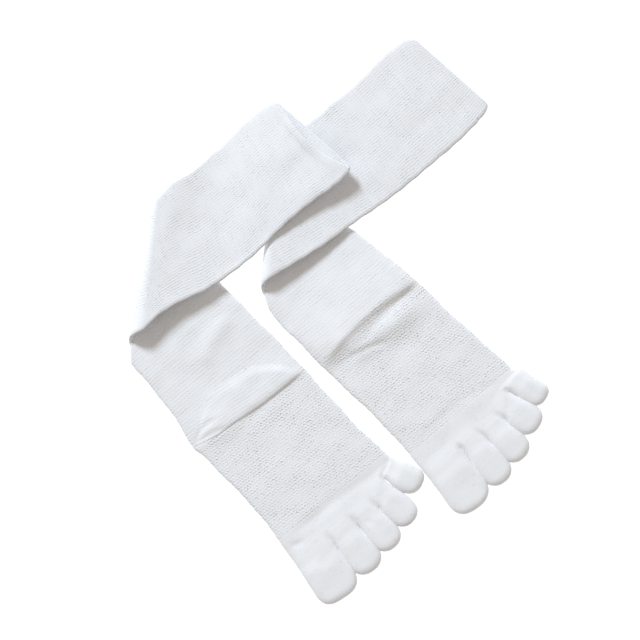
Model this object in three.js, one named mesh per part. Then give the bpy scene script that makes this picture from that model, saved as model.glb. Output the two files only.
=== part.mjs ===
// A pair of knitted five-toe socks, laid flat: the right sock sole up, the left sock instep up.
// Each is a flattened tube whose leg is folded over at the ankle and lies back across its own foot,
// and the right sock's leg crosses on top of the left one's. Millimetres, +Z up. The origin is on the
// surface that the pair lies on, under the middle of the pair.
import * as THREE from "three";

// ---- Driving dimensions ----
const WALL = 1.3; // thickness of the knit
const SLIT = 0.6; // between the two layers of a flattened tube
const SEAM = 0.3; // between pieces that are knitted together
const HALF = WALL + SLIT / 2; // from a flat tube's middle surface to its outside
const EDGE_ANGLES = [0, 45, 90]; // points round a tube's side edge, in degrees
const HEEL_ROW = 4; // the rung where the heel pouch's fold lies, in both socks
const HEEL_SEAM = HEEL_ROW + 0.5; // the rung where the foot's knit meets the ankle's
const HEEL_MARGIN = 0.035; // share of the rung left clear at each end of the pouch
const HEEL_DEPTH = 28; // from the pouch's fold to the top of its arc
const HEEL_ARCH = 2.8; // how square-shouldered that arc is
const HEEL_EDGE = 0.8; // thickness of the pouch at its arc
const WELT_DEPTH = 10; // the doubled band at the top of the leg
const TOE_BLEND = 0.4; // share of a toe over which its slanted base turns square to it
const FOLD_REACH = 0.8; // how far a fold's roll stands out, as a share of half its height

const COLOURS = { rib: 0xe6e9ee, mesh: 0xe3e6eb, plain: 0xe7eaee, welt: 0xe8ebf0 };

// A rung is a line across the flat tube, from its edge on the big toe's side to its edge on the
// little toe's side. A lift is the height of the tube's middle surface over where it is when the
// tube lies on the ground, and the crown is what the rung's middle has beyond its ends.
const RUNG = ["bigX", "bigY", "littleX", "littleY", "bigLift", "littleLift", "crown"];
const KNOT = ["x", "y"];
const TOE = ["tipX", "tipY", "width", "square"]; // square is 2 for an elliptical tip, more is squarer

const table = (columns, ...lines) =>
  lines.map((line) => Object.fromEntries(columns.map((name, i) => [name, line[i] ?? 0])));

const RIGHT = {
  name: "right",
  heelOnTop: true,
  heelThickness: 2.6,
  heelBow: -3, // how far the pouch's fold bends towards the ankle, mid-way
  foldRadius: { big: 7, little: 4.2 },
  mouth: { seen: -7.5, hidden: 1.2 }, // how far past the last rung the cuff's layers end, mid-way
  // From where the plain knit of the toes begins, over the heel, to where the leg folds over.
  ground: table(
    RUNG,
    [-46, -171.5, 38, -103],
    [-64, -148, 18, -85],
    [-88, -122.5, -4, -61.5],
    [-104.5, -106, -18.5, -46],
    [-113, -98.5, -25.5, -38],
    [-129.5, -72.5, -47, -15.5],
    [-146.5, -50.5, -68.5, 6],
    [-157, -36.5, -96, 34.5],
    [-159, -30.5, -119.5, 62.5],
    [-158, -20.5, -139.5, 89],
  ),
  // From the fold to the cuff.
  upper: table(
    RUNG,
    [-153, -8, -139, 97, 14, 8.4, 0],
    [-139, 4.5, -128, 108.5, 13, 8.4, -0.5],
    [-122.5, 15, -117, 114.5, 10.4, 7.6, -1],
    [-104.5, 23.5, -107.5, 121.5, 8.5, 6.8, -1],
    [-85, 36.5, -98.5, 130.5, 9, 6.4, -0.5],
    [-64, 53, -87.5, 139.5, 12.2, 6.6, 0.6],
    [-42, 73.5, -76.5, 151.5, 14.6, 7.2, 1.6],
    [-22, 90.5, -66.5, 160.5, 15, 7.8, 1.6],
    [-3, 104.5, -57, 167, 16.1, 8.2, 1.2],
    [9.5, 116, -48.5, 170.5, 17.7, 9.4, 0.8],
  ),
  // Where the toes' pockets part, from the big toe's side to the little toe's.
  toeLine: table(
    KNOT,
    [-31, -192.5],
    [-4, -171.5],
    [14, -157],
    [30.5, -144.5],
    [35, -122.5],
    [43.5, -107],
  ),
  toes: table(
    TOE,
    [4.5, -216, 34.5, 3.2],
    [27, -193.5, 23.5, 2.5],
    [43.5, -175.5, 21, 2.4],
    [58.5, -155, 20.5, 2.4],
    [65, -126.5, 21, 2.6],
  ),
};

const LEFT = {
  name: "left",
  heelOnTop: false,
  heelThickness: 2.4,
  heelBow: 0,
  foldRadius: { big: 5.6, little: 3.2 },
  mouth: { seen: -1, hidden: 0.5 },
  ground: table(
    RUNG,
    [56, -104.5, 132.5, -40],
    [33, -79, 107, -11.5],
    [11, -57.5, 83.5, 10],
    [-5.5, -42, 64, 29.5],
    [-14, -33.5, 54.5, 37.5, 1.4, 1.4, 1.9],
    [-32, -14, 26.5, 59.5, 0.9, 0.9, 0.8],
    [-41.5, -4, -2.5, 82.5],
    [-50.5, 8, -25.5, 106],
    [-54.5, 19.5, -47, 129.5],
  ),
  upper: table(
    RUNG,
    [-53, 33.5, -46, 139, 11.2, 6.4, 0],
    [-37.5, 42, -36, 146, 9.8, 5, 0],
    [-22, 51.5, -25.5, 154.5, 8, 3, 0],
    [-5.5, 62.5, -15.5, 160.5, 6.2, 1.8, 0],
    [11, 75, -4, 171, 4.2, 0.8, 0],
    [31, 89, 9.5, 181.5, 2.2, 0.2, 0],
    [51.5, 104.5, 22, 193.5, 1.2, 0, 0],
    [72, 121.5, 33, 205, 0.4, 0, 0],
    [92, 138, 43, 213.5],
    [108.5, 154.5, 50.5, 218.5],
    [118, 167.5, 58.5, 220.5],
  ),
  toeLine: table(
    KNOT,
    [72, -124],
    [97.5, -100.5],
    [114, -89.5],
    [128.5, -75.5],
    [132, -54.5],
    [141, -39],
  ),
  toes: table(
    TOE,
    [108.5, -146, 32, 2.7],
    [129.5, -124.5, 21.5, 2.4],
    [145, -105.5, 21, 2.4],
    [156, -81, 21, 2.6],
    [162, -59.5, 18.5, 2.6],
  ),
};

// ---- Small helpers ----
const { lerp, smoothstep, clamp, degToRad } = THREE.MathUtils;
const hump = (share) => 4 * share * (1 - share); // 0 at both ends, 1 in the middle
const between = (first, last, steps) =>
  Array.from({ length: steps + 1 }, (_, i) => lerp(first, last, i / steps));

// Catmull-Rom along a column of a table, row being a number of rows from its start.
function curved(rows, column, row) {
  const at = clamp(Math.floor(row), 0, rows.length - 2);
  const [a, b, c, d] = [at - 1, at, at + 1, at + 2].map(
    (i) => rows[clamp(i, 0, rows.length - 1)][column],
  );
  const t = row - at;
  return b + (t * (c - a + t * (2 * a - 5 * b + 4 * c - d + t * (3 * (b - c) + d - a)))) / 2;
}

// Straight from row to row, for heights, which must not overshoot.
function straight(rows, column, row) {
  const at = clamp(Math.floor(row), 0, rows.length - 2);
  return lerp(rows[at][column], rows[at + 1][column], row - at);
}

// ---- A sock's middle surface: a point for a row along it and a share across it ----
function onRows(rows, row, share) {
  const x = lerp(curved(rows, "bigX", row), curved(rows, "littleX", row), share);
  const y = lerp(curved(rows, "bigY", row), curved(rows, "littleY", row), share);
  const ends = lerp(straight(rows, "bigLift", row), straight(rows, "littleLift", row), share);
  return new THREE.Vector3(x, y, HALF + ends + straight(rows, "crown", row) * hump(share));
}

// Shares across the sock at which one toe ends and the next begins.
function toeShares(sock) {
  const knots = sock.toeLine.map(({ x, y }) => new THREE.Vector3(x, y, HALF));
  const sums = knots.map((_, i) =>
    knots.slice(1, i + 1).reduce((sum, knot, k) => sum + knot.distanceTo(knots[k]), 0),
  );
  return sums.map((sum) => sum / sums.at(-1));
}

function onToeLine(sock, share) {
  const shares = toeShares(sock);
  const toe = clamp(shares.findIndex((knot) => knot > share) - 1, 0, shares.length - 2);
  const last = share >= 1 ? shares.length - 2 : toe;
  const part = (share - shares[last]) / (shares[last + 1] - shares[last]);
  const [from, to] = [sock.toeLine[last], sock.toeLine[last + 1]];
  return new THREE.Vector3(lerp(from.x, to.x, part), lerp(from.y, to.y, part), HALF);
}

// The fold rolls half a turn about a level line across the tube, as turn goes from 0 to 1. The tube
// crosses that line aslant, so it also slides along it.
function onFold(sock, turn, share) {
  const last = sock.ground.length - 1;
  const radius = lerp(sock.foldRadius.big, sock.foldRadius.little, share);
  const across = onRows(sock.ground, last, 1).sub(onRows(sock.ground, last, 0));
  const outward = new THREE.Vector3(-across.y, across.x, 0).normalize();
  return onRows(sock.ground, last, share)
    .lerp(onRows(sock.upper, 0, share), turn)
    .addScaledVector(outward, FOLD_REACH * radius * Math.sin(Math.PI * turn))
    .setZ(HALF + radius * (1 - Math.cos(Math.PI * turn)));
}

// Rows run from -1 at the toe line, over 0 where the toes' plain knit begins, to the fold, round it
// in one row, and back to the cuff.
const foldRow = (sock) => sock.ground.length - 1;
const cuffRow = (sock) => foldRow(sock) + sock.upper.length;

function onSock(sock, row, share) {
  const turn = row - foldRow(sock);
  if (row < 0) return onRows(sock.ground, 0, share).lerp(onToeLine(sock, share), -row);
  if (turn <= 0) return onRows(sock.ground, row, share);
  return turn < 1 ? onFold(sock, turn, share) : onRows(sock.upper, turn - 1, share);
}

// ---- Rings: the outside and the inside of a flat tube's section ----
function normalAt(surface, row, share) {
  const reach = 0.02;
  const middle = clamp(share, reach, 1 - reach);
  const alongTube = surface(row + reach, middle).sub(surface(row - reach, middle));
  const acrossTube = surface(row, middle + reach).sub(surface(row, middle - reach));
  return acrossTube.cross(alongTube).normalize();
}

// The points of a section, inset from the outside: shares across, and heights off the middle.
function profile(width, inset, knots) {
  const half = HALF - inset;
  const edge = EDGE_ANGLES.map((degrees) => ({
    share: (inset + half * (1 - Math.cos(degToRad(degrees)))) / width,
    height: half * Math.sin(degToRad(degrees)),
  }));
  const farEdge = edge.map(({ share, height }) => ({ share: 1 - share, height })).reverse();
  const top = [...edge, ...knots.map((share) => ({ share, height: half })), ...farEdge];
  const under = top.slice(1, -1).map(({ share, height }) => ({ share, height: -height }));
  return [...top, ...under.reverse()];
}

// shift(share, height) is how far along the surface, in rows, a point lies from the ring's row.
function ring(surface, row, knots, shift = () => 0) {
  const width = surface(row, 0).distanceTo(surface(row, 1));
  const points = (inset) =>
    profile(width, inset, knots).map(({ share, height }) =>
      surface(row + shift(share, height), share).addScaledVector(
        normalAt(surface, row, share),
        height,
      ),
    );
  return { outside: points(0), inside: points(WALL) };
}

// ---- Solids ----
function solid(name, kind, points, faces) {
  const whole = faces.filter(([a, b, c]) => a !== b && b !== c && c !== a);
  const volume = whole.reduce(
    (sum, [a, b, c]) => sum + points[a].dot(points[b].clone().cross(points[c])),
    0,
  );
  const outward = whole.map((face) => (volume < 0 ? face.toReversed() : face));
  const geometry = new THREE.BufferGeometry();
  const positions = points.flatMap((point) => point.toArray());
  geometry.setAttribute("position", new THREE.Float32BufferAttribute(positions, 3));
  geometry.setIndex(outward.flat());
  geometry.computeVertexNormals();
  const material = new THREE.MeshStandardMaterial({
    color: COLOURS[kind],
    roughness: 0.9,
    metalness: 0,
  });
  const mesh = new THREE.Mesh(geometry, material);
  mesh.name = name;
  return mesh;
}

const quad = (a, b, c, d) => [
  [a, b, c],
  [a, c, d],
];

// A tube's wall through its rings. Its first end is open, and the last one too unless it is closed.
function tube(name, kind, rings, closed = false) {
  const size = rings[0].outside.length;
  const last = rings.length - 1;
  const outside = (i, k) => 2 * i * size + (k % size);
  const inside = (i, k) => outside(i, k) + size;
  const faces = [];
  for (let k = 0; k < size; k++) {
    const next = k + 1;
    for (let i = 0; i < last; i++) {
      const far = i + 1;
      faces.push(...quad(outside(i, k), outside(far, k), outside(far, next), outside(i, next)));
      faces.push(...quad(inside(i, k), inside(i, next), inside(far, next), inside(far, k)));
    }
    faces.push(...quad(inside(0, k), outside(0, k), outside(0, next), inside(0, next)));
    if (!closed) {
      const mouth = [outside(last, k), inside(last, k), inside(last, next), outside(last, next)];
      faces.push(...quad(...mouth));
    }
  }
  if (closed) {
    // Each point on top of the section is joined to the one under it.
    for (let k = 0; k < size / 2; k++) {
      const [under, nextUnder] = [size - k, size - k - 1];
      for (const [layer, flip] of [
        [outside, false],
        [inside, true],
      ]) {
        const corners = [k, under, nextUnder, k + 1].map((corner) => layer(last, corner));
        faces.push(...quad(...(flip ? corners.reverse() : corners)));
      }
    }
  }
  const points = rings.flatMap((section) => [...section.outside, ...section.inside]);
  return solid(name, kind, points, faces);
}

// How far to shift a ring, in rows, so that it stands half a seam's gap from its row, square to it.
function seamShift(surface, row, side) {
  const reach = 0.05;
  return (share) => {
    const alongTube = surface(row + reach, share).sub(surface(row - reach, share));
    const acrossTube = surface(row, share + reach).sub(surface(row, share - reach)).normalize();
    return (side * SEAM * reach) / alongTube.cross(acrossTube).length();
  };
}

// The cuff's two layers end apart, most in the middle. The fold turned the tube over, so the layer
// that shows is the one on the surface's far side.
function mouthShift(sock, surface) {
  const reach = 0.5;
  const length = surface(cuffRow(sock), 0.5).distanceTo(surface(cuffRow(sock) - reach, 0.5));
  return (share, height) => {
    const past = lerp(sock.mouth.seen, sock.mouth.hidden, (height / HALF + 1) / 2);
    return (past * hump(share) * reach) / length;
  };
}

// A stretch of a sock between two rows.
function stretch(sock, piece, kind, first, last, steps) {
  const surface = (row, share) => onSock(sock, row, share);
  const knots = toeShares(sock).slice(1, -1);
  const rings = between(first, last, steps).map((row, i) => {
    if (i === 0) return ring(surface, row, knots, seamShift(surface, row, 1));
    if (i < steps) return ring(surface, row, knots);
    const cuff = row === cuffRow(sock);
    return ring(surface, row, knots, cuff ? mouthShift(sock, surface) : seamShift(surface, row, -1));
  });
  return tube(`${sock.name}_${piece}`, kind, rings);
}

// A toe's pocket runs from the toe line, t = 0, to its squarish round tip.
function toePocket(sock, toe) {
  const [from, to] = [sock.toeLine[toe], sock.toeLine[toe + 1]].map(
    ({ x, y }) => new THREE.Vector3(x, y, HALF),
  );
  const { tipX, tipY, width, square } = sock.toes[toe];
  const base = from.clone().lerp(to, 0.5);
  const axis = new THREE.Vector3(tipX, tipY, HALF).sub(base);
  const length = axis.length();
  axis.normalize();
  const sideways = new THREE.Vector3(-axis.y, axis.x, 0);
  const margin = SEAM / 2 / from.distanceTo(to);
  const roundFrom = 1 - width / 2 / length;
  const surface = (t, share) => {
    const rounding = clamp((t - roundFrom) / (1 - roundFrom), 0, 1);
    const half = (width / 2) * (1 - rounding ** square) ** (1 / square);
    const slanted = from.clone().lerp(to, lerp(margin, 1 - margin, share));
    const squared = base.clone().addScaledVector(sideways, half * (2 * share - 1));
    return slanted
      .lerp(squared, smoothstep(t, 0, TOE_BLEND))
      .addScaledVector(axis, SEAM / 2 + t * (length - SEAM / 2));
  };
  const roundings = [0.35, 0.7, 0.9, 0.98].map((share) => lerp(roundFrom, 1, share));
  const rings = [0, TOE_BLEND / 2, TOE_BLEND, ...roundings].map((t) => ring(surface, t, [0.5]));
  return tube(`${sock.name}_toe_${toe + 1}`, "plain", rings, true);
}

// The heel's pouch, folded flat towards the toes: two layers of knit closed along the fold, with an
// arc on the ankle's side. It lies on the right sock's foot, and under the left one's.
function heelPouch(sock) {
  const [bigEnd, littleEnd] = [0, 1].map((share) => onRows(sock.ground, HEEL_ROW, share));
  const chord = littleEnd.clone().sub(bigEnd);
  const toAnkle = new THREE.Vector3(-chord.y, chord.x, 0).normalize();
  const bottom = sock.heelOnTop ? 2 * HALF + SEAM : 0;
  const columns = between(-1, 1, 12);
  const depths = [0, 0.06, 0.35, 0.7, 1];
  const top = [];
  const under = [];
  for (const depth of depths) {
    for (const column of columns) {
      const arch = HEEL_DEPTH * (1 - Math.min(0.985, Math.abs(column)) ** HEEL_ARCH);
      const share = lerp(HEEL_MARGIN, 1 - HEEL_MARGIN, (column + 1) / 2);
      const place = bigEnd.clone().addScaledVector(chord, share);
      place.addScaledVector(toAnkle, lerp(sock.heelBow * hump(share), arch, depth));
      const swell = (sock.heelThickness - HEEL_EDGE) * (1 - column * column) * (1 - depth);
      const thickness = (HEEL_EDGE + swell) * (depth === 0 ? 0.6 : 1);
      top.push(place.clone().setZ(bottom + thickness));
      under.push(place.clone().setZ(bottom));
    }
  }
  const wide = columns.length;
  const at = (i, k) => i * wide + k;
  const below = (i, k) => at(i, k) + top.length;
  const last = depths.length - 1;
  const end = wide - 1;
  const faces = [];
  for (let i = 0; i < last; i++) {
    for (let k = 0; k < end; k++) {
      faces.push(...quad(at(i, k), at(i, k + 1), at(i + 1, k + 1), at(i + 1, k)));
      faces.push(...quad(below(i, k), below(i + 1, k), below(i + 1, k + 1), below(i, k + 1)));
    }
    faces.push(...quad(at(i, 0), at(i + 1, 0), below(i + 1, 0), below(i, 0)));
    faces.push(...quad(at(i, end), below(i, end), below(i + 1, end), at(i + 1, end)));
  }
  for (let k = 0; k < end; k++) {
    faces.push(...quad(at(0, k), below(0, k), below(0, k + 1), at(0, k + 1)));
    faces.push(...quad(at(last, k), at(last, k + 1), below(last, k + 1), below(last, k)));
  }
  return solid(`${sock.name}_heel`, "plain", [...top, ...under], faces);
}

function makeSock(sock) {
  const fold = foldRow(sock);
  const cuff = cuffRow(sock);
  const lastRow = onSock(sock, cuff, 0.5).distanceTo(onSock(sock, cuff - 1, 0.5));
  const welt = cuff - WELT_DEPTH / lastRow;
  const group = new THREE.Group();
  group.add(
    stretch(sock, "welt", "welt", welt, cuff, 1),
    stretch(sock, "leg", "rib", fold + 1, welt, 12),
    stretch(sock, "fold", "rib", fold, fold + 1, 6),
    stretch(sock, "ankle", "rib", HEEL_SEAM, fold, 6),
    stretch(sock, "foot", "mesh", 0, HEEL_SEAM, 9),
    stretch(sock, "forefoot", "plain", -1, 0, 1),
    heelPouch(sock),
    ...sock.toes.map((_, toe) => toePocket(sock, toe)),
  );
  return group;
}

const pair = new THREE.Group();
pair.add(makeSock(RIGHT), makeSock(LEFT));
const box = new THREE.Box3().setFromObject(pair, true);
pair.position.set(-(box.min.x + box.max.x) / 2, -(box.min.y + box.max.y) / 2, 0);

export default pair;
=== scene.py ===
"""Looks for a pair of white knitted toe socks that lie flat: each a flattened tube of knit with five
toe pockets, its leg folded back over the foot. Tables are in millimetres, everything built is in
metres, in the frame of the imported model."""

import math
from collections import namedtuple

import bmesh
import bpy
import numpy as np
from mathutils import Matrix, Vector
from mathutils.bvhtree import BVHTree


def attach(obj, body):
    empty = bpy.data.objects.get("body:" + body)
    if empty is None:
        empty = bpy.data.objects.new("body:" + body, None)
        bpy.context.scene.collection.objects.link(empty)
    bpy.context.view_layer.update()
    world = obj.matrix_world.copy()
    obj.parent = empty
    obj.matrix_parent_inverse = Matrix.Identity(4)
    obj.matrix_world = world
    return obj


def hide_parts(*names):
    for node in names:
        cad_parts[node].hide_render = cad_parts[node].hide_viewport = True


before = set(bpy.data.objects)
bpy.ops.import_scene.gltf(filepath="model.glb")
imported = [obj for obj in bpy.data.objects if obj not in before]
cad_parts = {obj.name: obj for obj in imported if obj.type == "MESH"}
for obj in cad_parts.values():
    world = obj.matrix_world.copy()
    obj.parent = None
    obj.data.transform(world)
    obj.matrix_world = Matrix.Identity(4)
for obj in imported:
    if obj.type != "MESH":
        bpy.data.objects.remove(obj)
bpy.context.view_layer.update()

# ---- Driving dimensions, in millimetres ----
MM = 0.001
SHIFT = (-0.8, 0.1)  # from the tables' origin to the frame's
HALF = 1.6  # from a flat tube's middle surface to its outside
WALL = 1.1  # thickness of the knit
PUFF = 0.1  # how far a tube's visible side stands up in its middle
PUFF_REACH = 6  # how far in from its edges it does so
FOLD_REACH = 0.65  # how far a fold's roll stands out, as a share of half its height
FOLD_BLEND = 0.6  # rows beside a fold over which a side of the tube turns visible or hidden
RIPPLE_HIDDEN = 0.4  # share of a visible side's ripples that a hidden side has
EDGE_ROUND = 2.1  # how far in from a tube's side edge its thickness is full
EDGE_INSET = 0.4  # how far in from that edge the first points of each side lie
EDGE_SWAY = 8  # the higher it is, the less of a tube's width its wavy outline moves
CREASE_CHORDS = 24  # straight runs that stand for a crease's curve
CREASE_FADE = 0.25  # share of a crease's length over which it fades, at each end
CREASE_END = 0.15  # share of its height that it keeps there
SPACING = 1.8  # between the rings of a tube
KNIT_WIDTH = 88  # a tube's flat width, for the knit's own coordinates
MESH_END = 4.05  # the row up to which the foot's mesh runs

HEEL_ROW = 4  # the rung where the heel pouch's fold lies, in both socks
HEEL_MARGIN = 0.02  # share of that rung left clear at each end of the pouch
HEEL_COLUMNS = 97  # lines of points across the pouch
HEEL_DEPTH = 28  # from the rung to the top of the pouch's arc
HEEL_ARCH = 2.8  # how square-shouldered that arc is
HEEL_END = 0.99  # share of half its width from which the pouch gets no shallower
HEEL_EDGE = 0.16  # thickness of the folded pouch along its fold and its arc
HEEL_SWELL = 0.95  # how much thicker it is in between
HEEL_SLANT = 0.35  # share by which that is more at the little toe's side, and less at the other
HEEL_SHALLOW = 22  # it swells less where its fold and its arc are less than that apart
HEEL_ROUND = 7  # how far in from its fold it is swollen in full
HEEL_RISE = 8  # and how far in from its arc
HEEL_SOFT = 3  # how far in from both it has its ripples in full
HEEL_OVER = 0.03  # gap to the tube that it lies on
HEEL_UNDER = 0.05  # or lies under
HEEL_THIN = 0.02  # its thickness where that tube leaves it no room

CUFF_RUNG = 13  # about how far apart the last two rungs are, at the cuff
CUFF_ROWS = 1.2  # rows before the cuff over which it takes its curved edge and its opening
CUFF_CORNER = 5  # radius
WELT_DEPTH = 10  # of the doubled band along the cuff
WELT_RINGS = 9  # rings of points over that depth
WELT_COVERS = 3  # how much of the welt's depth the leg's own wall ends inside it
WELT_SUNK = 0.2  # how far inside the leg's wall the band begins
WELT_GROWN = 0.4  # share of its depth over which it comes out of there
WELT_PROUD = 0.1  # how far it then stands out of the leg
WELT_CLEAR = 0.25  # and how far it stands in from the leg's wall

TOE_SEGMENTS = (18, 13, 12, 12, 11)  # mesh cells across each toe
TOE_INSET = 0.25  # how far in from a toe's side the first points of its upper and under sides lie
TOE_BAND = 22  # about how far the foot's mesh begins behind the toe line
TOE_BLEND = 0.4  # share of a toe over which its slanted base turns square to it
TOE_BULGE = 2  # how far a toe's side swells towards its neighbour
BULGE_FULL = 0.6  # share of a toe over which that grows
BULGE_END = 0.95  # and at which it has died away
TOE_LINE_TOP = 2.8  # how high the visible side stands above the middle surface at the toe line
TOE_LINE_REACH = 14  # how far behind the toe line it has fallen to the tube's own height
TOE_TOP = 3.7  # how high a toe's visible side stands above the middle surface
TOE_ROUND = 7  # how far in from its sides and its tip it is that high
TOE_SETTLED = 11  # how far beyond the toe line a toe has its own height in full
TIP_FROM = 0.55  # share of a toe from which its rings lie closer together
TIP_END = 0.999  # and where the last of them lies
CROTCH_REACH = 9  # how far the grooves between the toes run back
GROOVE_WIDTH = 1.8  # to each side of its line
GROOVE_DEPTH = 0.7  # share of the tube's thickness that a groove takes at the toe line

RIB_PITCH = 2.15  # from rib to rib
MESH_PITCH = 2.25  # from one row of the mesh's hollows to the next
COURSE_PITCH = 2.6  # from course to course
PLAIN_STITCH = (1.1, 0.9)  # a plain stitch's width and height
WANDER = 2.2  # how far the stitches wander

PICTURE = 499.2  # across the picture, at the ground
PICTURE_CENTRE = (-14.0, 0.8)  # in the tables' coordinates
CAMERA_HEIGHT = 2.0  # metres
FLOOR_SIZE = 6.0  # metres
FLOOR_DROP = 0.0005  # metres from the socks down to the floor
FLOOR_GREY = 0.4  # how much of the light it sends back
FLOOR_GLOW = 0.84  # and how much of its own it adds

RIB, MESH, PLAIN, ANKLE, WELT = range(5)  # places in KNITS
YARN = (0.818, 0.834, 0.878)  # off-white cotton

# ---- Tables ----
# A rung is a line across the flat tube, from its edge on the big toe's side to the other edge. A lift
# is a height over lying on the ground, and the crown is what the rung's middle has beyond its ends.
Rung = namedtuple(
    "Rung", "big_x big_y little_x little_y big_lift little_lift crown", defaults=(0, 0, 0)
)
# A toe's tip is an arc where its square is 2, and squarer above that.
Toe = namedtuple("Toe", "tip_x tip_y width square")
# A crease runs from one point by another to a third. It is a trough where its height is below 0, and
# far is its width on its right side where that differs from its left.
Crease = namedtuple(
    "Crease", "layer from_x from_y by_x by_y to_x to_y width height far", defaults=(None,)
)
# The heel pouch's fold lies that far from its straight rung, towards the ankle.
Bow = namedtuple("Bow", "offset")
# A wave's phase grows with x and with y, in radians a millimetre.
Wave = namedtuple("Wave", "by_x by_y start height")
# A fold's roll is twice fold_big high at its end by the big toe's side, and twice fold_little at the
# other, which are the first upper rung's lifts. The cuff's visible and hidden sides, seen and hidden,
# reach that far beyond its last rung in their middle, and stand open by mouth.
Sock = namedtuple(
    "Sock",
    "name heel_on_top heel_bow fold_big fold_little seen hidden mouth ground upper toe_line toes"
    " creases",
)

# The soft unevenness of knit at rest, and the unevenness of a tube's side edges.
RIPPLES = [
    Wave(0.11, 0.05, 0.3, 0.1),
    Wave(-0.06, 0.14, 1.9, 0.09),
    Wave(0.19, -0.09, 4.1, 0.07),
    Wave(0.04, 0.25, 5.2, 0.06),
    Wave(0.29, 0.21, 2.7, 0.04),
    Wave(-0.34, 0.27, 0.8, 0.03),
]
EDGE_WAVES = [
    Wave(0.13, -0.11, 0.4, 0.3),
    Wave(0.31, 0.27, 2.2, 0.22),
    Wave(-0.5, 0.55, 1.1, 0.14),
]

RIGHT = Sock(
    name="right",
    heel_on_top=True,
    heel_bow=[Bow(0), Bow(-3), Bow(-2.7), Bow(-3.2), Bow(-2), Bow(0)],
    fold_big=7,
    fold_little=4.8,
    seen=-7.5,
    hidden=1.2,
    mouth=1.5,
    ground=[
        Rung(-46, -171.5, 38, -103),
        Rung(-64, -148, 18, -85),
        Rung(-88, -122.5, -4, -61.5),
        Rung(-104.5, -106, -18.5, -46),
        Rung(-113, -98.5, -25.5, -38),
        Rung(-129.5, -72.5, -47, -15.5),
        Rung(-146.5, -50.5, -68.5, 6),
        Rung(-158, -37.5, -96, 34.5),
        Rung(-161.5, -31, -119.5, 62.5),
        Rung(-161.5, -20.5, -140.5, 90),
    ],
    upper=[
        Rung(-150.5, -7, -139, 97, 14, 9.6),
        Rung(-139, 4.5, -128, 108.5, 13.2, 9.4, -0.5),
        Rung(-122.5, 15, -117, 114.5, 11.4, 8.2, -1),
        Rung(-104.2, 23, -107.5, 121.5, 9.8, 7, -0.8),
        Rung(-84.4, 35.6, -98.5, 130.5, 9.2, 6.4, -0.4),
        Rung(-63.4, 52.1, -87.5, 139.5, 11.4, 6.6, 0.6),
        Rung(-42, 73.5, -76.5, 151.5, 14, 7.2, 1.6),
        Rung(-22, 90.5, -66.5, 160.5, 14.8, 7.8, 1.6),
        Rung(-3, 104.5, -57, 167, 16.1, 8.2, 1.2),
        Rung(10.8, 117.2, -48.5, 170.5, 17.7, 9.4, 0.8),
    ],
    toe_line=[(-31, -192.5), (-4, -171.5), (14, -157), (30.5, -144.5), (35, -122.5), (43.5, -107)],
    toes=[
        Toe(4.5, -216, 34.5, 3.2),
        Toe(27.9, -194.5, 24.3, 2.5),
        Toe(44.4, -176.3, 21.8, 2.4),
        Toe(58.9, -156, 20.5, 2.4),
        Toe(65.7, -127.3, 21, 2.6),
    ],
    creases=[
        Crease("foot", -112, -101, -105.5, -84, -92, -76, 1.8, -0.7),
        Crease("foot", -112, -99, -100, -88.5, -86, -83, 2, -0.7),
        Crease("foot", -122, -104, -62, -64, 4, -20, 18, 1.8, 11),
        Crease("foot", -80, -82, -49.5, -59.4, -18, -35, 2.5, -1.1, 6),
        Crease("foot", -83, 6, -98, -15.6, -106, -37, 7, 1.1),
        Crease("foot", -40, -171, -1, -139.5, 37, -112.5, 4, -0.7),
        Crease("foot", 33, -121, 38, -114, 40, -105, 2.5, -1),
        Crease("foot", -38, -173, -32, -174, -27, -171, 2, -0.7),
        Crease("toes", 13, -160, 17, -153, 31, -161, 1.7, -1.4),
        Crease("toes", -14, -193, -10, -184, -4, -178, 5, -0.6),
        Crease("leg", -110, 20, -60, 70, -50, 110, 9, -0.35),
        Crease("leg", -50, 104, -24, 124, 6, 144, 12, -0.9),
    ],
)

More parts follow.
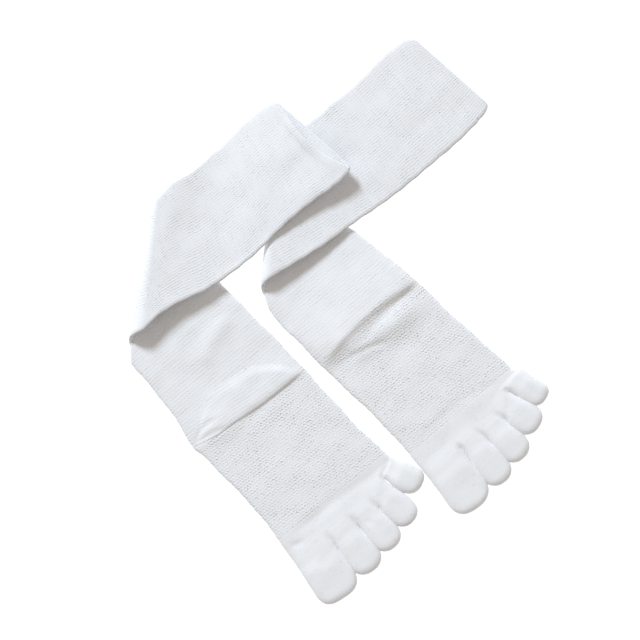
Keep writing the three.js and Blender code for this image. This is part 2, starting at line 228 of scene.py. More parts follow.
LEFT = Sock(
    name="left",
    heel_on_top=False,
    heel_bow=[Bow(0), Bow(0)],
    fold_big=5.2,
    fold_little=3.2,
    seen=-1,
    hidden=0.5,
    mouth=0.4,
    ground=[
        Rung(56, -104.5, 135.4, -37.1),
        Rung(33, -79, 107, -11.5),
        Rung(11, -57.5, 83.5, 10),
        Rung(-5.5, -42, 64, 29.5),
        Rung(-14, -33.5, 54.5, 37.5, 1.2, 1.2, 1),
        Rung(-32.6, -14.5, 26.5, 59.5, 0.9, 0.9, 0.6),
        Rung(-42.6, -4.8, -2.5, 82.5),
        Rung(-53.1, 7.7, -25.5, 106),
        Rung(-57, 18.7, -47, 129.5),
    ],
    upper=[
        Rung(-53, 33.5, -46, 139, 10.4, 6.4),
        Rung(-37.5, 42, -36, 146, 9.6, 5),
        Rung(-22, 51.5, -25.5, 154.5, 8.2, 3),
        Rung(-5.5, 62.5, -15.5, 160.5, 6.8, 1.8),
        Rung(11, 75, -4, 171, 5.4, 0.8, -0.4),
        Rung(31, 89, 9.5, 181.5, 3.8, 0.2, -0.2),
        Rung(51.5, 104.5, 22, 193.5, 2.4),
        Rung(72, 121.5, 33, 205, 1.4),
        Rung(92, 138, 43, 213.5, 0.5),
        Rung(108.5, 154.5, 50.5, 218.5),
        Rung(118, 167.5, 58.5, 220.5),
    ],
    toe_line=[(72, -124), (97.5, -100.5), (114, -89.5), (128.5, -75.5), (132, -54.5), (143.2, -37.2)],
    toes=[
        Toe(108.3, -146.2, 33.6, 2.7),
        Toe(130.2, -125.4, 22.3, 2.4),
        Toe(145.3, -106.4, 21.6, 2.4),
        Toe(156.8, -82.4, 22.2, 2.6),
        Toe(162.4, -60.2, 18.9, 2.6),
    ],
    creases=[
        Crease("foot", -16, -38, 21.8, 5.2, 70, 37.5, 24, 3.1, 3.6),
        Crease("foot", 3, -27, 33, -8, 70, 19, 12, 3, 10),
        Crease("foot", 6, -31, 22, -21.5, 40, -15, 2, -0.9, 2.5),
        Crease("foot", 95.5, -96, 97, -102, 99.5, -109, 1.5, -0.7),
        Crease("foot", 60, -96, 92, -66, 126, -46, 3.5, -0.35),
        Crease("leg", 0, 95, 40, 130, 60, 180, 12, 0.5),
        Crease("leg", 30, 110, 60, 150, 90, 165, 7, -0.35),
    ],
)

# ---- Small helpers ----


def lerp(a, b, t):
    return a + (b - a) * t


def smoothstep(value, low, high):
    t = np.clip((value - low) / (high - low), 0, 1)
    return t * t * (3 - 2 * t)


def hump(share):
    """0 at both ends, 1 in the middle."""
    return 4 * share * (1 - share)


def unit(vectors):
    return vectors / np.maximum(np.linalg.norm(vectors, axis=-1, keepdims=True), 1e-12)


def rounded(distance, reach):
    """A quarter ellipse: 0 at an edge, 1 from reach inwards."""
    return np.sqrt(1 - (1 - np.clip(distance / reach, 0, 1)) ** 2)


def curve(rows, column, at):
    """Catmull-Rom through a column of a table, at being a number of rows from its start."""
    values = np.array([getattr(row, column) for row in rows], dtype=float)
    start = np.clip(np.floor(at).astype(int), 0, len(values) - 2)
    a, b, c, d = (values[np.clip(start + k, 0, len(values) - 1)] for k in (-1, 0, 1, 2))
    t = at - start
    return b + t * (c - a + t * (2 * a - 5 * b + 4 * c - d + t * (3 * (b - c) + d - a))) / 2


# ---- A sock's middle surface: points for rows along it and shares across it ----


def on_rows(rows, at, share):
    x = lerp(curve(rows, "big_x", at), curve(rows, "little_x", at), share)
    y = lerp(curve(rows, "big_y", at), curve(rows, "little_y", at), share)
    ends = lerp(curve(rows, "big_lift", at), curve(rows, "little_lift", at), share)
    lift = ends + curve(rows, "crown", at) * hump(share)
    return np.stack([x, y, HALF + np.maximum(lift, 0)], axis=-1)


def toe_shares(sock):
    """Shares across the sock at which one toe ends and the next begins."""
    line = np.array(sock.toe_line, dtype=float)
    sums = np.concatenate([[0], np.cumsum(np.linalg.norm(np.diff(line, axis=0), axis=1))])
    return sums / sums[-1]


def on_toe_line(sock, share):
    line = np.array(sock.toe_line, dtype=float)
    shares = toe_shares(sock)
    x, y = (np.interp(share, shares, line[:, axis]) for axis in (0, 1))
    return np.stack([x, y, np.full(np.shape(share), float(HALF))], axis=-1)


def fold_row(sock):
    return len(sock.ground) - 1


def cuff_row(sock):
    return fold_row(sock) + len(sock.upper)


def on_fold(sock, turn, share):
    """The fold rolls half a turn about a level line, while the tube slides along that line."""
    last = fold_row(sock)
    radius = lerp(sock.fold_big, sock.fold_little, share)
    ends = on_rows(sock.ground, np.array([last, last]), np.array([0.0, 1.0]))
    across = ends[1] - ends[0]
    outward = unit(np.array([-across[1], across[0], 0]))
    start = on_rows(sock.ground, np.full(np.shape(turn), float(last)), share)
    end = on_rows(sock.upper, np.zeros(np.shape(turn)), share)
    point = lerp(start, end, turn[..., None])
    point = point + outward * (FOLD_REACH * radius * np.sin(np.pi * turn))[..., None]
    point[..., 2] = HALF + radius * (1 - np.cos(np.pi * turn))
    return point


def middle(sock, row, share):
    """Rows run from -1 at the toe line, over 0 where the toes' plain knit begins, to the fold, round
    it in one row, and back to the cuff."""
    row, share = np.broadcast_arrays(np.asarray(row, dtype=float), np.asarray(share, dtype=float))
    turn = row - fold_row(sock)
    forefoot = lerp(
        on_rows(sock.ground, np.zeros(row.shape), share), on_toe_line(sock, share), -row[..., None]
    )
    choices = [
        (row < 0, forefoot),
        (turn <= 0, on_rows(sock.ground, np.maximum(row, 0), share)),
        (turn < 1, on_fold(sock, np.clip(turn, 0, 1), share)),
    ]
    point = on_rows(sock.upper, np.maximum(turn - 1, 0), share)
    for where, value in reversed(choices):
        point = np.where(where[..., None], value, point)
    return point


def normal(sock, row, share):
    """Square to the middle surface, towards the side that faces up on the ground."""
    reach = 0.02
    inside = np.clip(share, reach, 1 - reach)
    along = middle(sock, row + reach, inside) - middle(sock, row - reach, inside)
    across = middle(sock, row, inside + reach) - middle(sock, row, inside - reach)
    return unit(np.cross(across, along))


# ---- A sock's outside ----


def both_sides(shares, inset):
    """Shares and sides once round a flattened ring: its first edge, its upper side, its other edge
    and its under side. A side is 1, -1, or 0 at an edge."""
    shares = inset + shares * (1 - 2 * inset)
    count = len(shares)
    share = np.concatenate([[0], shares, [1], shares[::-1]])
    side = np.concatenate([[0], np.ones(count), [0], -np.ones(count)])
    return share, side


def perimeter(sock):
    """Shares and sides once round the tube, from its big toe's edge. Its upper side is the one that
    faces up on the ground."""
    knots = toe_shares(sock)
    spans = [
        np.linspace(knots[toe], knots[toe + 1], cells, endpoint=False)
        for toe, cells in enumerate(TOE_SEGMENTS)
    ]
    return both_sides(np.concatenate([*spans, [1]]), EDGE_INSET / KNIT_WIDTH)


def uneven(waves, points, phase=0.0):
    """The waves' height at each point. Another phase gives another pattern of the same kind."""
    phases = (w.by_x * points[..., 0] + w.by_y * points[..., 1] + w.start + phase for w in waves)
    return sum(w.height * np.sin(p) for w, p in zip(waves, phases))


def crease_height(crease, points):
    """How far a crease moves each point outwards. It fades towards both of its ends."""
    start = np.array([crease.from_x, crease.from_y], dtype=float)
    by = np.array([crease.by_x, crease.by_y], dtype=float)
    end = np.array([crease.to_x, crease.to_y], dtype=float)
    bend = 2 * by - (start + end) / 2
    t = np.linspace(0, 1, CREASE_CHORDS + 1)[:, None]
    path = (1 - t) ** 2 * start + 2 * t * (1 - t) * bend + t**2 * end
    best = np.full(points.shape[:-1], 1e9)
    where = np.zeros(points.shape[:-1])
    width = np.full(points.shape[:-1], float(crease.width))
    for k, (a, b) in enumerate(zip(path, path[1:])):
        run = b - a
        offset = points[..., :2] - a
        along = np.clip(offset @ run / (run @ run), 0, 1)
        offset = offset - along[..., None] * run
        distance = np.linalg.norm(offset, axis=-1)
        nearer = distance < best
        right = offset[..., 0] * run[1] > offset[..., 1] * run[0]
        width = np.where(nearer, np.where(right, crease.far or crease.width, crease.width), width)
        where = np.where(nearer, (k + along) / CREASE_CHORDS, where)
        best = np.minimum(best, distance)
    inner = smoothstep(where, 0, CREASE_FADE) * (1 - smoothstep(where, 1 - CREASE_FADE, 1))
    return crease.height * np.exp(-((best / width) ** 2)) * lerp(CREASE_END, 1, inner)


def cuff_pull(sock, share, side):
    """How far the cuff's edge lies beyond its last rung: a bow on each side, and round corners."""
    bow = lerp(sock.seen, sock.hidden, (side + 1) / 2) * hump(share)
    corner = 1 - rounded(np.minimum(share, 1 - share) * KNIT_WIDTH, CUFF_CORNER)
    return bow - CUFF_CORNER * corner


def left_by_grooves(sock, share, width, behind_toes):
    """The share of the tube's thickness that the grooves between the toes leave."""
    depth = GROOVE_DEPTH * (1 - smoothstep(behind_toes, 0, CROTCH_REACH))
    left = np.ones(behind_toes.shape)
    for knot in toe_shares(sock)[1:-1]:
        left *= 1 - depth * np.exp(-(((share - knot) * width / GROOVE_WIDTH) ** 2))
    return left


def edge_sway(share, big_edge, little_edge):
    """How far the waves of a tube's two edges move each point, towards the little toe's side."""
    by_little = share**EDGE_SWAY * uneven(EDGE_WAVES, little_edge)[:, None]
    return by_little - (1 - share) ** EDGE_SWAY * uneven(EDGE_WAVES, big_edge)[:, None]


def skin(sock, rows):
    """Points of the outside, a ring of the perimeter for each row."""
    share, side = perimeter(sock)
    cuff = cuff_row(sock)
    at_cuff = smoothstep(rows[:, None], cuff - CUFF_ROWS, cuff)
    row = rows[:, None] + cuff_pull(sock, share, side) / CUFF_RUNG * at_cuff
    centre = middle(sock, row, share)
    big_edge, little_edge = (middle(sock, rows, np.full(len(rows), end)) for end in (0.0, 1.0))
    across = little_edge - big_edge
    width = np.linalg.norm(across, axis=-1)[:, None]
    from_edge = np.minimum(share, 1 - share) * width
    soft = smoothstep(from_edge, 0, PUFF_REACH)
    turn = row - fold_row(sock)
    past_fold, before_fold = smoothstep(turn, 0, FOLD_BLEND), 1 - smoothstep(turn, -FOLD_BLEND, 0)
    visible = np.where(side < 0, past_fold, before_fold)
    behind_toes = (1 + row) * TOE_BAND
    at_toes = (1 - smoothstep(behind_toes, 0, TOE_LINE_REACH)) * (side > 0)
    thickness = HALF * rounded(from_edge, EDGE_ROUND)
    thickness += PUFF * soft * visible
    thickness += sock.mouth * hump(share) * at_cuff * (side < 0)
    thickness += (TOE_LINE_TOP - HALF - PUFF) * soft * at_toes
    thickness += soft * uneven(RIPPLES, centre, 2.0 * side) * lerp(RIPPLE_HIDDEN, 1, visible)
    thickness *= left_by_grooves(sock, share, width, behind_toes)
    layers = {"foot": side > 0, "leg": side < 0}
    for crease in sock.creases:
        if crease.layer in layers:
            raised = visible * soft * crease_height(crease, centre)
            thickness += np.where(layers[crease.layer], raised, 0)
    point = centre + normal(sock, row, share) * (side * thickness)[..., None]
    sway = edge_sway(share, big_edge, little_edge) * smoothstep(rows, -1, 0)[:, None]
    return point + (across / width)[:, None] * sway[..., None]


def toe_ring(sock, toe, t, base):
    """A ring round a toe's pocket, t from 0 at the toe line to 1 at the tip. base is its ring on the
    toe line: an edge, the upper side, the other edge and the under side."""
    start, end = (np.array([*sock.toe_line[toe + k], HALF], dtype=float) for k in (0, 1))
    tip_x, tip_y, width, square = sock.toes[toe]
    root = (start + end) / 2
    axis = np.array([tip_x, tip_y, HALF]) - root
    length = np.linalg.norm(axis)
    axis /= length
    sideways = np.array([-axis[1], axis[0], 0])
    round_from = 1 - width / 2 / length
    rounding = np.clip((t - round_from) / (1 - round_from), 0, 1)
    half = width / 2 * (1 - rounding**square) ** (1 / square)
    share, side = both_sides(np.linspace(0, 1, TOE_SEGMENTS[toe] + 1), TOE_INSET / width)
    slanted = lerp(start, end, share[:, None])
    bulge = TOE_BULGE * np.sin(np.pi * min(t / BULGE_END, 1)) * smoothstep(t, 0, BULGE_FULL)
    has_neighbour = np.where(share < 0.5, toe > 0, toe < len(sock.toes) - 1)
    squared = root + sideways * ((half + bulge * has_neighbour) * (2 * share - 1))[:, None]
    point = lerp(slanted, squared, smoothstep(t, 0, TOE_BLEND)) + axis * length * t
    from_edge = np.minimum(share, 1 - share) * 2 * half
    full = rounded(from_edge, TOE_ROUND) * rounded((1 - t) * length, TOE_ROUND)
    height = np.where(side > 0, TOE_TOP + uneven(RIPPLES, point, 1.5), HALF) * full
    for crease in sock.creases:
        if crease.layer == "toes":
            height += np.where(side > 0, full * crease_height(crease, point), 0)
    point[:, 2] += side * height
    point[:, 2] = lerp(base[:, 2], point[:, 2], smoothstep(t * length, 0, TOE_SETTLED))
    return point


# ---- Meshes ----


def new_object(name, shape, materials):
    """An object from a shape, in metres in the frame, with nothing below the floor."""
    mesh = bpy.data.meshes.new(name)
    points = (np.array(shape.points) + np.array([*SHIFT, 0])) * MM
    points[:, 2] = np.maximum(points[:, 2], 0)
    mesh.from_pydata(points.tolist(), [], shape.faces)
    for material in materials:
        mesh.materials.append(material)
    mesh.polygons.foreach_set("material_index", shape.face_materials)
    corners = np.zeros(len(mesh.loops), dtype=np.int32)
    mesh.loops.foreach_get("vertex_index", corners)
    places = mesh.uv_layers.new(name="knit")
    places.data.foreach_set("uv", np.array(shape.knit)[corners].ravel())
    mesh.polygons.foreach_set("use_smooth", np.ones(len(mesh.polygons), dtype=bool))
    whole = bmesh.new()
    whole.from_mesh(mesh)
    bmesh.ops.recalc_face_normals(whole, faces=whole.faces)
    whole.to_mesh(mesh)
    whole.free()
    mesh.update()
    thing = bpy.data.objects.new(name, mesh)
    bpy.context.scene.collection.objects.link(thing)
    return thing


def row_steps(sock, first, last):
    """Rows at most about SPACING apart along both edges and the middle of the tube."""
    fine = np.linspace(first, last, 400)
    lines = [middle(sock, fine, np.full(len(fine), share)) for share in (0.0, 0.5, 1.0)]
    steps = np.max([np.linalg.norm(np.diff(line, axis=0), axis=1) for line in lines], axis=0)
    run = np.concatenate([[0], np.cumsum(steps)])
    count = max(2, round(run[-1] / SPACING))
    return np.interp(np.linspace(0, run[-1], count + 1), run, fine)


class Shape:
    """A mesh being made: its points, their places in the knit, its faces and their materials."""

    def __init__(self):
        self.points, self.knit, self.faces, self.face_materials = [], [], [], []

    def add(self, points, knit):
        """Returns the numbers of the new points."""
        first = len(self.points)
        self.points += [*points]
        self.knit += [*knit]
        return list(range(first, len(self.points)))

    def face(self, corners, material=0):
        self.faces.append(tuple(dict.fromkeys(corners)))
        self.face_materials.append(material)

    def join(self, near, far, material=0):
        """Quads between two rings of the same number of points."""
        count = len(near)
        for k in range(count):
            after = (k + 1) % count
            self.face((near[k], far[k], far[after], near[after]), material)

    def close(self, ring, material=0):
        """Faces across a flattened ring, from its upper points to the under points below them."""
        for k in range(len(ring) // 2):
            self.face((ring[k], ring[k + 1], ring[-k - 1], ring[-k]), material)


def tube_rows(sock):
    """Rows for the tube's rings, and the knit between each ring and the next."""
    inside_welt = cuff_row(sock) - WELT_COVERS / CUFF_RUNG
    ends = (-1, 0, MESH_END, fold_row(sock), inside_welt)
    rows, knits = [], []
    for first, last, knit in zip(ends, ends[1:], (PLAIN, MESH, ANKLE, RIB)):
        steps = row_steps(sock, first, last)[:-1]
        rows.extend(steps)
        knits.extend([knit] * len(steps))
    return np.array([*rows, inside_welt]), knits


def across_knit(sock):
    """Each perimeter point's distance round the tube, in the knit's own coordinates."""
    share, side = perimeter(sock)
    return np.where(side < 0, 2 - share, share) * KNIT_WIDTH


def knit_places(sock, rows):
    """Each ring point's distance across the knit, and along it from where the mesh begins."""
    centre = middle(sock, rows[:, None], perimeter(sock)[0])
    steps = np.linalg.norm(np.diff(centre, axis=0), axis=-1)
    along = np.concatenate([np.zeros((1, steps.shape[1])), np.cumsum(steps, axis=0)])
    along -= along[np.argmin(np.abs(rows))]
    return np.stack([np.broadcast_to(across_knit(sock), along.shape), along], axis=-1)


def add_toe(sock, shape, toe, ring):
    """One toe's pocket, from its ring on the toe line to its closed tip."""
    base = np.array([shape.points[k] for k in ring])
    places = np.array([shape.knit[k] for k in ring])
    length = math.dist(base[len(ring) // 4][:2], sock.toes[toe][:2])
    tip = lerp(TIP_FROM, TIP_END, np.sin(np.linspace(0, np.pi / 2, 16)[1:]))
    for t in (*np.linspace(0, TIP_FROM, 12)[1:], *tip):
        following = shape.add(toe_ring(sock, toe, t, base), places - np.array([0, t * length]))
        shape.join(following, ring, PLAIN)
        ring = following
    shape.close(ring, PLAIN)


def add_toes(sock, shape, ring):
    """Five pockets on the tube's ring at the toe line. Between two toes a web joins the upper side to
    the under side."""
    knots = np.concatenate([[0], np.cumsum(TOE_SEGMENTS)])
    edge = knots[-1] + 2
    upper, under = ring[1:edge], ring[:edge:-1]
    webs = [ring[0]]
    for knot in knots[1:-1]:
        web = (shape.points[upper[knot]] + shape.points[under[knot]]) / 2
        webs += shape.add([web], [shape.knit[upper[knot]]])
    webs.append(ring[edge])
    for toe, (first, last) in enumerate(zip(knots, knots[1:] + 1)):
        sides = upper[first:last], under[first:last][::-1]
        add_toe(sock, shape, toe, [webs[toe], *sides[0], webs[toe + 1], *sides[1]])


def tube_shape(sock):
    """The whole sock but its heel pouch and its welt: one tube with five toe pockets."""
    rows, knits = tube_rows(sock)
    shape = Shape()
    rings = [shape.add(*ring) for ring in zip(skin(sock, rows), knit_places(sock, rows))]
    for near, far, knit in zip(rings, rings[1:], knits):
        shape.join(near, far, knit)
    add_toes(sock, shape, rings[0])
    return shape


def make_tube(sock, shape, materials):
    """The tube's outside, with a wall that grows inwards from it."""
    tube = new_object(f"{sock.name}_sock", shape, materials)
    shell = tube.modifiers.new("wall", "SOLIDIFY")
    shell.thickness = WALL * MM
    shell.offset = -1
    return tube


def make_welt(sock, material):
    """The doubled band at the top of the leg. It comes out of the leg's wall, turns round at the cuff
    and goes back in."""
    cuff = cuff_row(sock)
    rows = np.linspace(cuff - WELT_DEPTH / CUFF_RUNG, cuff, WELT_RINGS)
    reach = 1e-3
    rings = skin(sock, rows)
    along = unit(skin(sock, rows + reach) - skin(sock, rows - reach))
    around = unit(np.roll(rings, -1, axis=1) - np.roll(rings, 1, axis=1))
    outward = unit(np.cross(around, along))
    grown = smoothstep(np.linspace(0, 1, WELT_RINGS), 0, WELT_GROWN)[:, None, None]
    outside = lerp(-WELT_SUNK, WELT_PROUD, grown)
    inside = lerp(WELT_SUNK - WALL, -WALL - WELT_CLEAR, grown)
    loop = [*(rings + outward * outside)]
    core = rings[-1] + outward[-1] * (outside[-1] + inside[-1]) / 2
    for angle in np.radians((45, 90, 135)):
        way = outward[-1] * np.cos(angle) + along[-1] * np.sin(angle)
        loop.append(core + way * (outside[-1] - inside[-1]) / 2)
    loop += [*(rings + outward * inside)[::-1]]
    across = across_knit(sock)
    shape = Shape()
    numbers = []
    for ring, run in zip(loop, np.linspace(0, 2 * WELT_DEPTH, len(loop))):
        numbers.append(shape.add(ring, np.stack([across, np.full(len(across), run)], axis=-1)))
    for near, far in zip(numbers, numbers[1:] + numbers[:1]):
        shape.join(near, far)
    return new_object(f"{sock.name}_welt_band", shape, [material])


def tube_heights(shape, places, way):
    """How high the tube's outside is at each place, met going up or down."""
    tree = BVHTree.FromPolygons([tuple(point) for point in shape.points], shape.faces)
    clear_of_tube = 100
    heights = []
    for x, y in places.reshape(-1, 3)[:, :2]:
        hit = tree.ray_cast(Vector((x, y, -clear_of_tube * way)), Vector((0, 0, way)))[0]
        heights.append(hit.z if hit else HALF)
    return np.array(heights).reshape(places.shape[:-1])


def heel_grid():
    """Columns of points across the folded pouch, from -1 to 1, and shares of its depth from its fold
    to its arc, which lie closer together at both."""
    depths = np.concatenate(
        [[0, 0.008, 0.02, 0.04, 0.065], np.linspace(0.1, 0.96, 20), [0.98, 0.992, 1]]
    )
    return np.meshgrid(np.linspace(-1, 1, HEEL_COLUMNS), depths, indexing="ij")


def heel_thickness(column, place, from_fold, from_arc):
    """The folded pouch is thin along its fold and its arc, and swollen in between."""
    swell = HEEL_SWELL * (1 + HEEL_SLANT * column) * smoothstep(from_fold + from_arc, 0, HEEL_SHALLOW)
    swell *= rounded(from_fold, HEEL_ROUND) * smoothstep(from_arc, 0, HEEL_RISE)
    soft = smoothstep(from_fold, 0, HEEL_SOFT) * smoothstep(from_arc, 0, HEEL_SOFT)
    swell += soft * uneven(RIPPLES, place, 1.0)
    return HEEL_EDGE + np.maximum(swell, 0)


def make_heel(sock, tube, material):
    """The heel's pouch, folded flat towards the toes, on top of the tube or under it."""
    ends = middle(sock, float(HEEL_ROW), np.array([0.0, 1.0]))
    chord = ends[1] - ends[0]
    to_ankle = unit(np.array([-chord[1], chord[0], 0]))
    column, depth = heel_grid()
    share = lerp(HEEL_MARGIN, 1 - HEEL_MARGIN, (column + 1) / 2)
    arch = HEEL_DEPTH * (1 - np.minimum(HEEL_END, np.abs(column)) ** HEEL_ARCH)
    bow = curve(sock.heel_bow, "offset", share * (len(sock.heel_bow) - 1))
    place = ends[0] + chord * share[..., None] + to_ankle * lerp(bow, arch, depth)[..., None]
    from_fold = depth * (arch - bow)
    thickness = heel_thickness(column, place, from_fold, arch - bow - from_fold)
    top, under = place.copy(), place.copy()
    if sock.heel_on_top:
        under[..., 2] = tube_heights(tube, place, -1) + HEEL_OVER
        top[..., 2] = under[..., 2] + thickness
    else:
        under[..., 2] = 0
        top[..., 2] = np.clip(tube_heights(tube, place, 1) - HEEL_UNDER, HEEL_THIN, thickness)
    knit = np.stack([share * KNIT_WIDTH, from_fold], axis=-1)
    shape = Shape()
    rings = []
    for k in range(HEEL_COLUMNS):
        ring = np.concatenate([top[k], under[k][::-1]])
        rings.append(shape.add(ring, np.concatenate([knit[k], knit[k][::-1]])))
    for near, far in zip(rings, rings[1:]):
        shape.join(near, far)
    shape.face(rings[0])
    shape.face(rings[-1])
    return new_object(f"{sock.name}_heel_pouch", shape, [material])


# ---- Materials ----


class Nodes:
    """Adds nodes to a material's tree."""

    def __init__(self, material):
        self.tree = material.node_tree

    def add(self, kind, **inputs):
        node = self.tree.nodes.new(kind)
        for name, value in inputs.items():
            self.feed(node.inputs[name.replace("_", " ")], value)
        return node

    def feed(self, socket, value):
        if isinstance(value, bpy.types.NodeSocket):
            self.tree.links.new(value, socket)
        else:
            socket.default_value = value

    def math(self, operation, *values):
        node = self.tree.nodes.new("ShaderNodeMath")
        node.operation = operation
        for socket, value in zip(node.inputs, values):
            self.feed(socket, value)
        return node.outputs[0]

    def wave(self, distance, pitch):
        """A cosine of that pitch."""
        return self.math("COSINE", self.math("MULTIPLY", distance, 2 * math.pi / pitch))

    def noise(self, vector, scale, detail=1.0):
        """About -0.5 to 0.5."""
        texture = self.add("ShaderNodeTexNoise", Vector=vector, Scale=scale, Detail=detail)
        return self.math("SUBTRACT", texture.outputs["Fac"], 0.5)

    def vector(self, operation, *values):
        node = self.tree.nodes.new("ShaderNodeVectorMath")
        node.operation = operation
        for socket, value in zip(node.inputs, values):
            self.feed(socket, value)
        return node.outputs["Vector"]


def stitch_strength(nodes, place, streaks, blotches):
    """The stitches stand out more in some patches than in others, and more or less one by one."""
    patches = nodes.math("ADD", streaks, nodes.math("MULTIPLY", blotches, 1.2))
    strength = nodes.math("MULTIPLY_ADD", patches, 1.8, 0.75)
    strength = nodes.math("MINIMUM", nodes.math("MAXIMUM", strength, 0.25), 1.3)
    each = nodes.math("MULTIPLY_ADD", nodes.noise(place, 0.42, 0.0), 2.8, 0.85)
    return nodes.math("MULTIPLY", strength, nodes.math("MAXIMUM", each, 0.0))


def knit_material(knit):
    """One knit's look: its stitches as relief and painted hollow shade, with streaks, blotches and
    fuzz.
    """
    material = bpy.data.materials.new(knit.name)
    material.use_nodes = True
    nodes = Nodes(material)
    shader = material.node_tree.nodes["Principled BSDF"]
    shader.inputs["Roughness"].default_value = 0.92
    shader.inputs["Specular IOR Level"].default_value = 0.2
    shader.inputs["Sheen Weight"].default_value = 0.1
    shader.inputs["Sheen Roughness"].default_value = 0.6
    uv_map = nodes.tree.nodes.new("ShaderNodeUVMap")
    uv_map.uv_map = "knit"
    place = uv_map.outputs["UV"]
    # The stitches' lines wander a little.
    wander = nodes.add("ShaderNodeTexNoise", Vector=place, Scale=0.45, Detail=1.0)
    moved = nodes.vector("MULTIPLY_ADD", wander.outputs["Color"], (WANDER, WANDER, 0), place)
    split = nodes.add("ShaderNodeSeparateXYZ", Vector=moved)
    stitches = knit.stitch(nodes, split.outputs["X"], split.outputs["Y"])
    # Streaks run across the tube, blotches are wide, and fuzz is as fine as a stitch.
    streaks = nodes.noise(nodes.vector("MULTIPLY", place, (0.05, 0.42, 0)), 1.0, 3.0)
    blotches = nodes.noise(place, 0.06, 2.0)
    fuzz = nodes.noise(place, 0.9, 2.0)
    relief = nodes.math("MULTIPLY", stitches, stitch_strength(nodes, place, streaks, blotches))
    # Painted shade: the relief's hollows are coloured darker and its ridges lighter, by shade.
    tone = nodes.math("MULTIPLY_ADD", relief, knit.shade / 2, knit.tone)
    shares = (-knit.patchy, -knit.patchy, knit.grain)
    for unevenness, share in zip((streaks, blotches, fuzz), shares):
        tone = nodes.math("MULTIPLY_ADD", unevenness, share, tone)
    tint = nodes.add("ShaderNodeVectorMath")
    tint.operation = "SCALE"
    tint.inputs[0].default_value = YARN
    nodes.feed(tint.inputs["Scale"], tone)
    nodes.feed(shader.inputs["Base Color"], tint.outputs["Vector"])
    height = nodes.math("MULTIPLY_ADD", fuzz, 1.0, relief)
    bump = nodes.add("ShaderNodeBump", Strength=1.0, Distance=knit.depth, Height=height)
    nodes.feed(shader.inputs["Normal"], bump.outputs["Normal"])
    return material


def rib_stitch(nodes, across, along):
    """Fine ribs along the leg, broken by the courses."""
    broken = 0.35
    dots = nodes.math("MULTIPLY", nodes.wave(along, RIB_PITCH), broken)
    return nodes.math("MULTIPLY", nodes.wave(across, RIB_PITCH), nodes.math("ADD", dots, 1 - broken))


def mesh_stitch(nodes, across, along):
    """Tuck stitches: rows of small hollows, each row half a step along from the last."""
    in_rows = 0.35
    hollows = nodes.math(
        "MULTIPLY", nodes.wave(across, MESH_PITCH), nodes.wave(along, 2 * MESH_PITCH)
    )
    rows = nodes.math("MULTIPLY", nodes.wave(along, MESH_PITCH), -in_rows)
    return nodes.math("MULTIPLY_ADD", hollows, 1 - in_rows, rows)


def plain_stitch(nodes, across, along):
    """Plain knit: small even stitches."""
    width, height = PLAIN_STITCH
    return nodes.math("MULTIPLY", nodes.wave(across, width), nodes.wave(along, height))


def course_stitch(nodes, across, along):
    """Smooth knit of which mainly the courses show, as rows round the tube."""
    broken = 0.4
    dots = nodes.math("MULTIPLY", nodes.wave(across, RIB_PITCH), broken)
    courses = nodes.wave(along, COURSE_PITCH)
    return nodes.math("MULTIPLY", courses, nodes.math("ADD", dots, 1 - broken))


# stitch(nodes, across, along) gives a knit's relief, from -1 in its hollows to 1. Its depth is half
# the relief's height in metres. Its tone is its brightness as a share of the yarn's, its
# shade how much darker its hollows are painted than its ridges, as painted shade, its
# grain how much that brightness varies with the fuzz, and patchy how much it varies in streaks and
# blotches.
Knit = namedtuple("Knit", "name stitch depth tone shade grain patchy")
KNITS = [
    Knit("leg_knit", rib_stitch, 0.00012, 0.955, 0.1, 0.08, 0.07),
    Knit("foot_knit", mesh_stitch, 0.00024, 0.99, 0.1, 0.2, 0.05),
    Knit("toe_knit", plain_stitch, 0.00004, 1.02, 0.012, 0.12, 0.05),
    Knit("ankle_knit", course_stitch, 0.00009, 0.97, 0.04, 0.1, 0.12),
    Knit("welt_knit", rib_stitch, 0.00012, 0.955, 0.1, 0.08, 0.07),
]


# ---- The scene ----


def make_sock(sock, knits):
    shape = tube_shape(sock)
    tube = make_tube(sock, shape, knits[:WELT])
    band = make_welt(sock, knits[WELT])
    heel = make_heel(sock, shape, knits[ANKLE])
    in_tube = ["leg", "fold", "ankle", "foot", "forefoot", *(f"toe_{k}" for k in range(1, 6))]
    for piece, nodes in ((tube, in_tube), (band, ["welt"]), (heel, ["heel"])):
        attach(piece, "root")
        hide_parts(*(f"{sock.name}_{node}" for node in nodes))
    return tube, band, heel


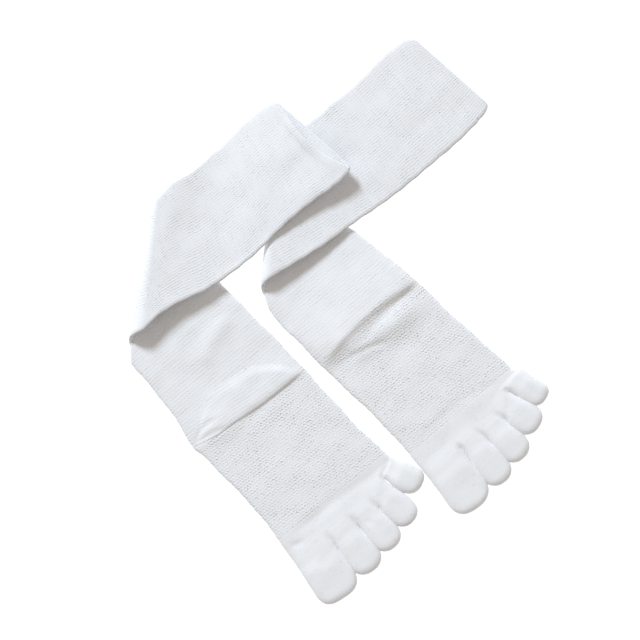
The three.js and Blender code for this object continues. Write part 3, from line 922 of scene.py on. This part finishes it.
def make_floor():
    """It glows so that it is white all round the socks, with only their shadows on it."""
    bpy.ops.mesh.primitive_plane_add(size=FLOOR_SIZE, location=(0, 0, -FLOOR_DROP))
    floor = bpy.context.object
    floor.name = "floor"
    material = bpy.data.materials.new("floor")
    material.use_nodes = True
    shader = material.node_tree.nodes["Principled BSDF"]
    shader.inputs["Base Color"].default_value = (FLOOR_GREY, FLOOR_GREY, FLOOR_GREY, 1)
    shader.inputs["Roughness"].default_value = 0.9
    shader.inputs["Emission Color"].default_value = (1, 1, 1, 1)
    shader.inputs["Emission Strength"].default_value = FLOOR_GLOW
    floor.data.materials.append(material)


def make_light(name, position, size, power, colour):
    data = bpy.data.lights.new(name, "AREA")
    data.shape = "DISK"
    data.size = size
    data.energy = power
    data.color = colour
    light = bpy.data.objects.new(name, data)
    light.location = position
    light.rotation_euler = (-light.location).to_track_quat("-Z", "Y").to_euler()
    bpy.context.scene.collection.objects.link(light)


def make_world(colour, strength):
    world = bpy.data.worlds.new("studio")
    world.use_nodes = True
    background = world.node_tree.nodes["Background"]
    background.inputs["Color"].default_value = (*colour, 1)
    background.inputs["Strength"].default_value = strength
    bpy.context.scene.world = world


def make_camera():
    """Straight above the middle of the picture."""
    data = bpy.data.cameras.new("camera")
    data.sensor_width = 36
    data.lens = data.sensor_width * CAMERA_HEIGHT / (PICTURE * MM)
    camera = bpy.data.objects.new("camera", data)
    x, y = ((centre + shift) * MM for centre, shift in zip(PICTURE_CENTRE, SHIFT))
    camera.location = (x, y, CAMERA_HEIGHT)
    bpy.context.scene.collection.objects.link(camera)
    bpy.context.scene.camera = camera


make_camera()
make_floor()
make_light("key", position=(-1.5, 2.5, 2.1), size=0.9, power=118, colour=(0.835, 0.925, 1.0))
make_world(colour=(1.0, 0.92, 0.82), strength=0.52)
bpy.context.scene.view_settings.view_transform = "Standard"

knits = [knit_material(knit) for knit in KNITS]
for sock, beneath in ((LEFT, []), (RIGHT, ["left_sock"])):
    tube, band, heel = make_sock(sock, knits)
